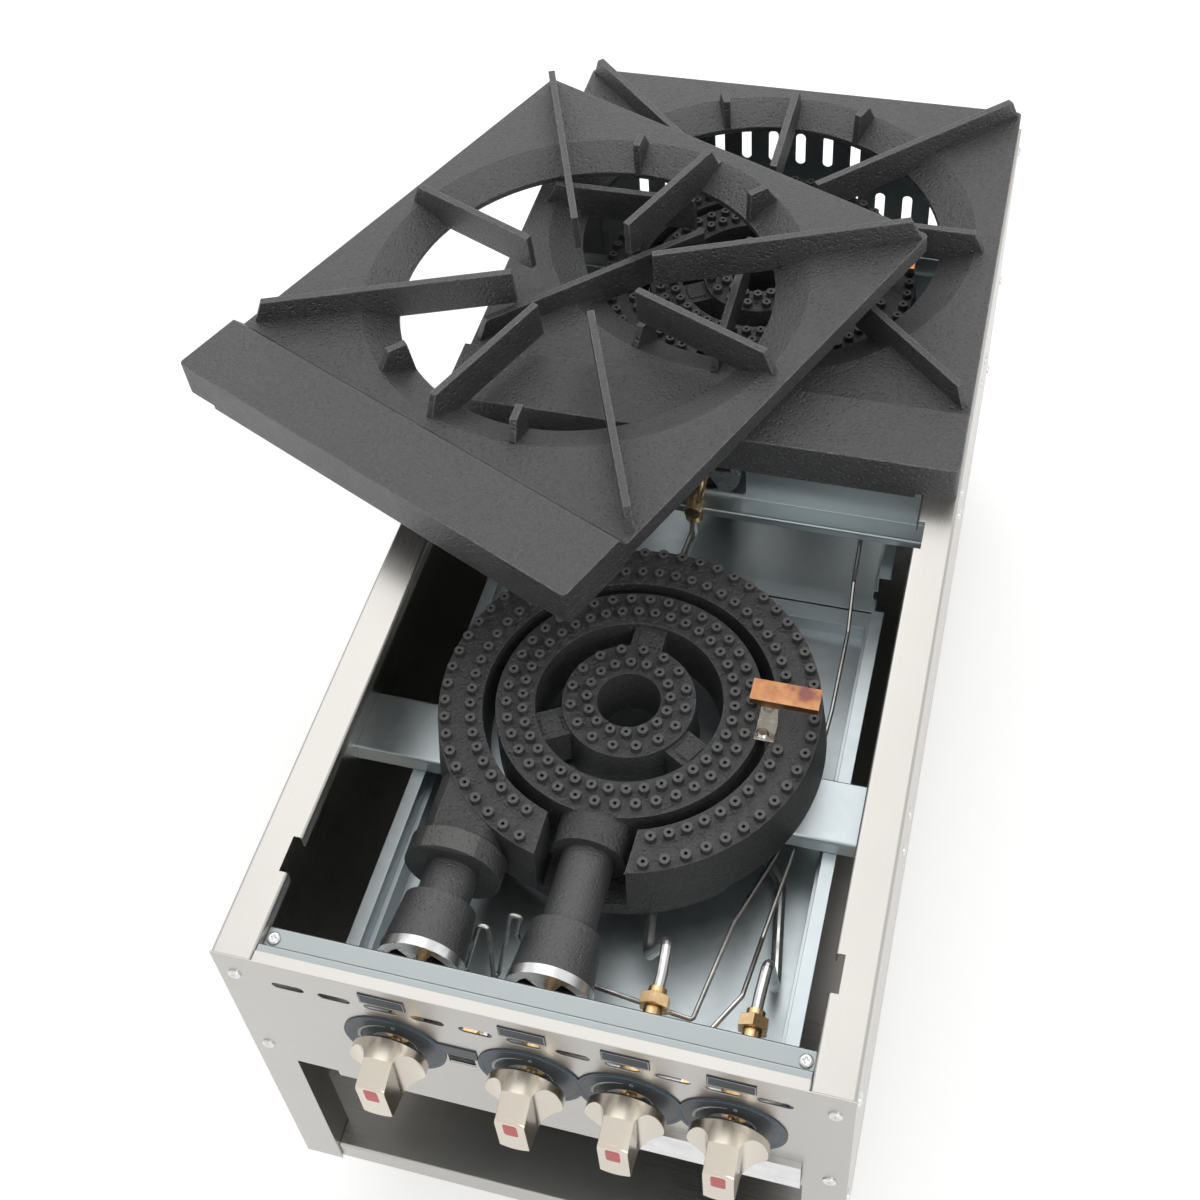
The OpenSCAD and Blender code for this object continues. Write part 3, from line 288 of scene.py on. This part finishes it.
def sand_cast(name, dark, light, worn_and_highlight, grain, depth, roughness,
              wear_and_highlight=0.5, rounding=0.0011, faced=None, speckle=0.6):
    """Sand-cast iron: grit and pits in the bump, cloudy tone with pale grains, pale edges that are part wear
    and part painted highlight, and faced tops.

    The bump is the grit plus six tenths of the pits. The tone goes from dark to light with a slow cloud,
    then to pale grains where a fine noise is high. Everything above the faced heights turns towards the pale
    worn colour.
    """
    f = Finish(name, dark, metallic=0.0, roughness=roughness, Specular_IOR_Level=1.0)
    grit = f.noise(grain, detail=5, rough=0.75)
    pits = f.spread(f.cells(grain * 0.45), 0.05, 0.42)
    cloud = f.noise(22, detail=5)
    base = f.mix(f.spread(cloud, 0.3, 0.72), dark, light)
    pale_grains = f.spread(f.noise(grain * 1.1, detail=2), 0.47, 0.66, 0.0, speckle)
    base = f.mix(pale_grains, base, tinted(light, 2.3))
    # Pale edges in patches: partly wear, partly a painted highlight where rounded edges would catch the
    # light.
    patches = f.spread(f.noise(160, detail=3), 0.35, 0.7, 0.15, wear_and_highlight)
    rubbed_and_highlit = f.maths("MULTIPLY", f.edges(rounding * 1.5), patches)
    if faced:
        gritty = f.spread(grit, 0.3, 0.6, 0.55, 1.0)
        base = f.mix(f.maths("MULTIPLY", f.height(*faced), gritty), base, worn_and_highlight)
    f.colour(f.mix(rubbed_and_highlit, base, worn_and_highlight))
    uneven = f.maths("ADD", cloud, f.maths("MULTIPLY", grit, 0.5))
    f.rough(f.spread(uneven, 0.5, 1.0, roughness - 0.08, roughness + 0.12))
    f.bump(f.maths("ADD", grit, f.maths("MULTIPLY", pits, 0.6)), depth, strength=0.8, rounding=rounding)
    return f.material


def turned_metal(name, colour, tarnish, roughness, axis="y"):
    """Turned or drawn metal: fine rings across its axis and cloudy tarnish."""
    f = Finish(name, colour, metallic=1.0, roughness=roughness)
    rings = f.noise(1400, detail=2, stretch=drawn_along(axis, 1.0, 0.08))
    cloud = f.noise(70)
    f.colour(f.mix(f.spread(cloud, 0.35, 0.7), colour, tarnish))
    f.rough(f.spread(cloud, *MOST, roughness - 0.05, roughness + 0.14))
    f.bump(rings, depth=0.00003, strength=0.4, rounding=0.0005)
    return f.material


def tinted_copper():
    """Copper sheet coloured by heat: orange, with purple-brown clouds."""
    f = Finish("tinted_copper", (0.86, 0.47, 0.27), metallic=1.0, roughness=0.34)
    bands = f.noise(46, detail=3, rough=0.55, stretch=drawn_along("z", 0.4, 1))
    ramp = f.add("ShaderNodeValToRGB")
    stops = ramp.color_ramp.elements
    stops[0].position, stops[0].color = 0.34, (0.20, 0.085, 0.075, 1)
    stops[1].position, stops[1].color = 0.68, (0.50, 0.285, 0.13, 1)
    warm = stops.new(0.46)
    warm.color = (0.36, 0.17, 0.085, 1)
    f.join(bands, ramp.inputs["Fac"])
    f.colour(ramp.outputs["Color"])
    f.rough(f.spread(bands, *MOST, 0.42, 0.24))
    f.bump(f.noise(500, detail=3), depth=0.00003, strength=0.4, rounding=0.0004)
    return f.material


def brushed_nickel():
    """Warm nickel knobs: fine lines drawn along the spindle, in tone, roughness and bump."""
    colour = (0.66, 0.60, 0.515)
    f = Finish("brushed_nickel", colour, metallic=1.0, roughness=0.3)
    lines = f.noise(5200, detail=3, rough=0.7, stretch=drawn_along("y", 0.012, 1))
    cloud = f.noise(40, detail=3)
    f.colour(f.mix(f.spread(lines, *NEARLY_ALL), tinted(colour, 0.94), tinted(colour, 1.05)))
    f.rough(f.maths("ADD", f.spread(lines, *MOST, 0.2, 0.27), f.spread(cloud, *MOST, -0.02, 0.03)))
    f.bump(lines, depth=0.00001, strength=0.3, rounding=0.0009)
    return f.material


def moulded(name, colour, roughness, grain=1500, depth=0.00004):
    """Moulded, printed or enamelled surface: a fine even grain and a faint cloud of a paler tone."""
    f = Finish(name, colour, metallic=0.0, roughness=roughness)
    cloud = f.noise(30)
    f.colour(f.mix(f.spread(cloud, *MOST), colour, tinted(colour, 1.35)))
    f.rough(f.spread(cloud, *MOST, roughness - 0.05, roughness + 0.08))
    f.bump(f.noise(grain, detail=3), depth, strength=0.5, rounding=0.0005)
    return f.material


STAINLESS = (0.50, 0.485, 0.46)
# Between these heights, in metres above the floor, the cast iron turns to the bright of a faced nozzle tip
NOZZLE_TIPS = (0.4202, 0.4208)

stainless_front = brushed_sheet("stainless_front", STAINLESS, along="x")
stainless_side = brushed_sheet("stainless_side", STAINLESS, along="y")
galvanised = galvanised_sheet("galvanised", (0.56, 0.615, 0.63), roughness=0.38)
# A darker copy of the galvanised finish, for the front crossbar alone: painted shade that tones down its lamp
# reflection.
shaded_zinc = galvanised_sheet("shaded_zinc", (0.31, 0.34, 0.342), roughness=0.34)
burner_iron = sand_cast(
    "burner_iron", dark=(0.022, 0.0215, 0.022), light=(0.040, 0.039, 0.039), worn_and_highlight=(0.12, 0.118, 0.114),
    grain=520, depth=0.0016, roughness=0.4, faced=NOZZLE_TIPS)
mixer_iron = sand_cast(
    "mixer_iron", dark=(0.044, 0.045, 0.047), light=(0.062, 0.063, 0.065), worn_and_highlight=(0.14, 0.14, 0.14),
    grain=640, depth=0.0008, roughness=0.33, speckle=0.25)
# The grate's pale edges are raised above its wear as a painted highlight along its edges.
grate_coat = sand_cast(
    "grate_coat", dark=(0.022, 0.022, 0.023), light=(0.038, 0.038, 0.040), worn_and_highlight=(0.25, 0.25, 0.255),
    grain=480, depth=0.0017, roughness=0.36, wear_and_highlight=0.85, rounding=0.0018)
bright_steel = turned_metal("bright_steel", (0.62, 0.61, 0.57), tarnish=(0.42, 0.40, 0.36), roughness=0.14)
brass = turned_metal("brass", (0.86, 0.64, 0.37), tarnish=(0.70, 0.46, 0.22), roughness=0.24)
pipe_metal = turned_metal("pipe_metal", (0.80, 0.80, 0.79), tarnish=(0.62, 0.62, 0.62), roughness=0.3)
tube_metal = turned_metal("tube_metal", (0.52, 0.51, 0.49), tarnish=(0.38, 0.37, 0.35), roughness=0.28)
zinc = turned_metal("zinc", (0.80, 0.81, 0.81), tarnish=(0.60, 0.61, 0.60), roughness=0.26)
copper = tinted_copper()
nickel = brushed_nickel()
slate = moulded("slate", (0.040, 0.048, 0.056), roughness=0.4)
dark_label = moulded("dark_label", (0.032, 0.040, 0.048), roughness=0.5)
rubber = moulded("rubber", (0.018, 0.018, 0.018), roughness=0.6, grain=700, depth=0.0001)
satin_plate = turned_metal(
    "satin_plate", (0.80, 0.80, 0.80), tarnish=(0.70, 0.70, 0.70), roughness=0.3, axis="z")
red_enamel = moulded("red_enamel", (0.42, 0.022, 0.02), roughness=0.3)
pale_print = moulded("pale_print", (0.50, 0.53, 0.50), roughness=0.5)
blue_print = moulded("blue_print", (0.12, 0.20, 0.30), roughness=0.5)

FINISHES = {
    stainless_front: ["front_panel", "base_shelf", "leg_sockets"],
    stainless_side: ["side_panel_left", "side_panel_right"],
    shaded_zinc: ["front_crossbar"],
    galvanised: ["partition_rail", "back_panel", "front_tray", "rear_tray", "tray_rests",
                 "front_burner_rail", "rear_burner_rail"],
    burner_iron: ["front_outer_ring", "front_inner_ring", "rear_outer_ring", "rear_inner_ring"],
    mixer_iron: ["front_outer_mixer", "front_inner_mixer", "rear_outer_mixer", "rear_inner_mixer"],
    grate_coat: ["front_grate", "front_grate_ribs", "rear_grate", "rear_grate_ribs"],
    brass: ["spindle_1", "spindle_2", "spindle_3", "spindle_4", "valves", "pipe_nuts", "rear_orifices",
            "pilot_valves"],
    pipe_metal: ["manifold", "supply_pipe", "inner_gas_pipe", "outer_gas_pipe"],
    tube_metal: ["front_pilot_tube", "rear_pilot_tube"],
    bright_steel: ["pilot_brackets"],
    zinc: ["front_outer_shutter", "front_inner_shutter", "rear_outer_shutter", "rear_inner_shutter",
           "panel_screws", "side_screws"],
    copper: ["pilot_hoods"],
    nickel: ["knob_1", "knob_2", "knob_3", "knob_4"],
    slate: ["bezel_plate"],
    dark_label: ["label_plates"],
    rubber: ["foot_front_left", "foot_front_right", "foot_rear_left", "foot_rear_right"],
    satin_plate: ["nameplate"],
}
for finish, names in FINISHES.items():
    for name in names:
        mesh = nodes[name].data
        mesh.materials.clear()
        mesh.materials.append(finish)


# Pieces


def knob_mark(number, x):
    """A plain red inlay on a knob's grip: a rounded rectangle, crowned a little.

    Its edge is where the seventh powers of the share of its half width and of its half height add up to 1.
    """
    half_wide, half_tall, squareness = 5.2, 9.2, 7
    grip_face_y, above_axis = -45.5, 11.5
    a = np.linspace(0, 2 * np.pi, 72, endpoint=False)
    edge = 1 / (np.abs(np.cos(a)) ** squareness + np.abs(np.sin(a)) ** squareness) ** (1 / squareness)
    share = np.array([0, 0.5, 0.9, 0.97, 1.0, 1.0, 0.0])
    proud = np.array([0.12, 0.115, 0.1, 0.08, 0.03, -0.4, -0.4])
    r = share[:, None] * edge
    grid = np.stack([
        x + half_wide * r * np.cos(a),
        np.broadcast_to(grip_face_y - proud[:, None], r.shape),
        KNOB_AXIS_Z + above_axis + half_tall * r * np.sin(a),
    ], -1)
    skin(f"knob_mark_{number}", grid, red_enamel, f"knob_{number}")


def bands(name, finish, ways, slot):
    """Printed bands in one mesh; each way gives its middle line, its half width vectors and its thickness.

    A band whose line doesn't come back to its start is closed by one face at either end.
    """
    points, faces = [], []
    start = 0
    for centre, across, thick in ways:
        rows = len(centre)
        last = rows * 4 - 1
        points.append(flat_band(centre, across, thick).reshape(-1, 3))
        faces.append(quads_of(rows, 4) + start)
        if np.abs(centre[0] - centre[-1]).max() > 1e-6:
            faces.append(np.array([[0, 1, 2, 3], [last, last - 1, last - 2, last - 3]]) + start)
        start += rows * 4
    return build(name, np.concatenate(points), np.concatenate(faces), finish, "cabinet")


def dial_outlines():
    """Each dial's thin outline, a full circle just inside the dark plate's own edge."""
    outlines = [round_band(x, DIAL_FACE_Y, KNOB_AXIS_Z, full_turn(), radius=35.9, half=0.4) for x in KNOB_XS]
    bands("dial_outlines", blue_print, outlines, "bezel")


def dial_marks():
    """Each dial's arc, which widens from the top to the left, the rim round its hole, its nought, and the
    rim of the label over it."""
    turn = full_turn()
    arc_start, full_width_at, arc_end = np.radians((97, 176, 184))
    sweep = np.linspace(arc_start, arc_end, 48)
    swell = 0.2 + 1.75 * smooth_step(sweep, arc_start, full_width_at) ** 0.8
    corner = np.array([[-1, 0, -1], [1, 0, -1], [1, 0, 1], [-1, 0, 1], [-1, 0, -1]], float)
    label_half, label_below_rail = (16.2, 0, 6.0), 17.25
    ways = []
    for x in KNOB_XS:
        ways.append(round_band(x, DIAL_FACE_Y, KNOB_AXIS_Z, sweep, radius=26.5, half=swell))
        ways.append(round_band(x, DIAL_FACE_Y, KNOB_AXIS_Z, turn, radius=16.7, half=0.45))
        ways.append(round_band(x + 2.4, DIAL_FACE_Y, KNOB_AXIS_Z + 26.5, turn[::4],
                               radius=1.1, half=0.28, tall=1.4))
        rim = np.array([x, LABEL_FACE_Y, RAIL_TOP - label_below_rail]) + corner * label_half
        ways.append((rim, 0.3 * corner, 0.1))
    bands("dial_marks", pale_print, ways, "bezel")


def screw_head():
    """A pan head of radius 5 and height 2.4: a rounded profile turned round Z, a cross sunk into its top.

    The profile falls from its flat middle by a power of the way to the rim. The cross is sunk where the
    smaller of x and y is within half a slot's width and the larger within a slot's reach, with eased walls.
    """
    height, sides = 2.4, 48
    a = np.linspace(0, 2 * np.pi, sides, endpoint=False)
    r = np.array([0, 0.3, 0.6, 0.9, 1.2, 1.5, 1.8, 2.1, 2.4, 2.7, 3.1, 3.6, 4.1, 4.5, 4.8, 5.0, 5.0])
    flat_to, crown_width, crown_drop = 2.6, 2.4, 1.25
    top = height - crown_drop * np.clip((r - flat_to) / crown_width, 0, 1) ** 2.2
    top[-1] = 0.0
    x, y = r[:, None] * np.cos(a), r[:, None] * np.sin(a)
    near = np.minimum(np.abs(x), np.abs(y))
    far = np.maximum(np.abs(x), np.abs(y))
    slot_depth, half_slot, slot_reach = 1.2, (0.45, 0.75), (2.0, 2.5)
    sunk = (1 - smooth_step(near, *half_slot)) * (1 - smooth_step(far, *slot_reach))
    z = top[:, None] - slot_depth * sunk
    return np.stack([x, y, z], -1).reshape(-1, 3), quads_of(len(r), sides)


def screw_heads(name, placed):
    """Screw heads in one mesh; each item gives a head already turned, its faces and its places."""
    points, faces = [], []
    start = 0
    for head, quads, places in placed:
        every, joined = copies(head, quads, places)
        points.append(every)
        faces.append(joined + start)
        start += len(every)
    return build(name, np.concatenate(points), np.concatenate(faces), zinc, "cabinet")


def screws():
    """The cross heads over the plain screws: on the panel facing forwards, on the crossbar facing up, and
    on both sides facing outwards."""
    head, quads = screw_head()
    forward = head[:, [0, 2, 1]] * (1, -1, 1)
    right = head[:, [2, 0, 1]]
    left = right * (-1, 1, 1)
    panel = [(hand * 215.5, 0, RAIL_TOP - drop) for hand in (-1, 1) for drop in (27, 145)]
    crossbar = [(hand * 191.2, 24, RAIL_TOP - 9.6) for hand in (-1, 1)]
    front_edge = [(12.5, z) for z in (449, 271, 132)]
    burner_rails = [(y + k * BURNER_PITCH, 358) for k in (0, 1) for y in (254, 287)]
    partition = [(561, z) for z in (441, 411)]
    back_edge = [(1031, z) for z in (449, 271, 132)]
    side = front_edge + burner_rails + partition + back_edge
    piece = screw_heads("panel_screw_heads", [(forward, quads, panel), (head, quads, crossbar)])
    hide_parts("panel_screws")
    piece = screw_heads("side_screw_heads", [
        (right, quads, [(SIDE_FACE_X, y, z) for y, z in side]),
        (left, quads, [(-SIDE_FACE_X, y, z) for y, z in side]),
    ])
    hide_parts("side_screws")


def inlet_thread():
    """The inlet's thread: a tube whose radius rises and falls once a turn along a helix, faded at both ends.

    The radius is the root's plus the thread's height times half of one plus the cosine of the turns gone
    along the pitch less the turn round the pipe.
    """
    x, y, z = 140, 1054.8, 266
    length, pitch, root, tall, lead_in, lead_out = 17.6, 1.8, 12.9, 0.55, 1.2, 1.4
    a = np.linspace(0, 2 * np.pi, 64, endpoint=False)
    along = np.linspace(0, length, 140)
    wave = 0.5 + 0.5 * np.cos(2 * np.pi * along[:, None] / pitch - a)
    fade = smooth_step(along, 0, lead_in) * (1 - smooth_step(along, length - lead_out, length))
    r = root + tall * wave * fade[:, None]
    tube = np.stack([x + r * np.cos(a), np.broadcast_to(y + along[:, None], r.shape), z + r * np.sin(a)], -1)
    ends = [tube[:1] * 0 + (x, y, z), tube, tube[-1:] * 0 + (x, y + length, z)]
    skin("inlet_thread", np.concatenate(ends), pipe_metal, "cabinet")


for number, x in enumerate(KNOB_XS, 1):
    knob_mark(number, x)
dial_outlines()
dial_marks()
screws()
inlet_thread()


# Stage

# The rays that see a white background: the sky at a strength of 1, and the floor with a glow of its own
BACKGROUND_RAYS = ("Is Camera Ray", "Is Glossy Ray", "Is Transmission Ray")
FLOOR_GLOW = 0.42
# The strength at which the sky lights the object
SKY_LIGHT = 0.62


def pale_floor():
    """A flat floor, 14 metres square, whose glow makes it white to the background rays."""
    mesh = bpy.data.meshes.new("floor")
    half = 7.0
    corners = [(-half, -half, 0), (half, -half, 0), (half, half, 0), (-half, half, 0)]
    mesh.from_pydata(corners, [], [(0, 1, 2, 3)])
    floor = bpy.data.objects.new("floor", mesh)
    scene.collection.objects.link(floor)
    f = Finish("floor_paint", (0.86, 0.86, 0.86), metallic=0.0, roughness=0.9, Specular_IOR_Level=0.1)
    path = f.add("ShaderNodeLightPath")
    camera, glossy, transmission = (path.outputs[ray] for ray in BACKGROUND_RAYS)
    seen = f.maths("MAXIMUM", f.maths("MAXIMUM", camera, glossy), transmission)
    f.shader.inputs["Emission Color"].default_value = (1, 1, 1, 1)
    f.join(f.maths("MULTIPLY", seen, FLOOR_GLOW), f.shader.inputs["Emission Strength"])
    mesh.materials.append(f.material)


def lamp(name, at, towards, size, watts):
    """An elliptical area lamp at a place, turned towards a point."""
    data = bpy.data.lights.new(name, "AREA")
    data.shape, data.size, data.size_y, data.energy = "ELLIPSE", size[0], size[1], watts
    light = bpy.data.objects.new(name, data)
    light.location = at
    light.rotation_mode = "QUATERNION"
    light.rotation_quaternion = (Vector(towards) - Vector(at)).to_track_quat("-Z", "Y")
    scene.collection.objects.link(light)


def sky():
    """A white sky, whose strength is the larger of its light on the object and a background ray's 1."""
    world = bpy.data.worlds.new("studio")
    scene.world = world
    world.use_nodes = True
    tree = world.node_tree
    background = tree.nodes["Background"]
    background.inputs["Color"].default_value = (1, 1, 1, 1)
    path = tree.nodes.new("ShaderNodeLightPath")
    strength = None
    for ray in BACKGROUND_RAYS:
        node = tree.nodes.new("ShaderNodeMath")
        node.operation = "MAXIMUM"
        node.inputs[1].default_value = SKY_LIGHT
        tree.links.new(path.outputs[ray], node.inputs[0])
        if strength:
            tree.links.new(strength, node.inputs[1])
        strength = node.outputs[0]
    tree.links.new(strength, background.inputs["Strength"])


def photograph_camera():
    """The photograph's viewing place and angle, with its lens and the shift of its crop."""
    data = bpy.data.cameras.new("camera")
    data.sensor_width, data.lens = 36.0, 51.538
    data.shift_x, data.shift_y = 0.00675, -0.11773
    camera = bpy.data.objects.new("camera", data)
    camera.location = (0.363401, -0.961033, 1.577747)
    camera.rotation_mode = "QUATERNION"
    camera.rotation_quaternion = Quaternion((0.92550909, 0.35342161, 0.078775, 0.11099816))
    scene.collection.objects.link(camera)
    scene.camera = camera


pale_floor()
lamp("key", at=(-0.7, 1.5, 3.2), towards=(-0.3, 0.6, 0), size=(2.8, 3.6), watts=22)
lamp("back", at=(-0.6, 4.2, 3.2), towards=(0, 0, 0.4), size=(3.0, 1.6), watts=26)
lamp("fill", at=(1.9, -2.2, 2.3), towards=(0.1, -0.3, 0.4), size=(0.9, 1.2), watts=17)
sky()
photograph_camera()
scene.view_settings.view_transform = "Standard"
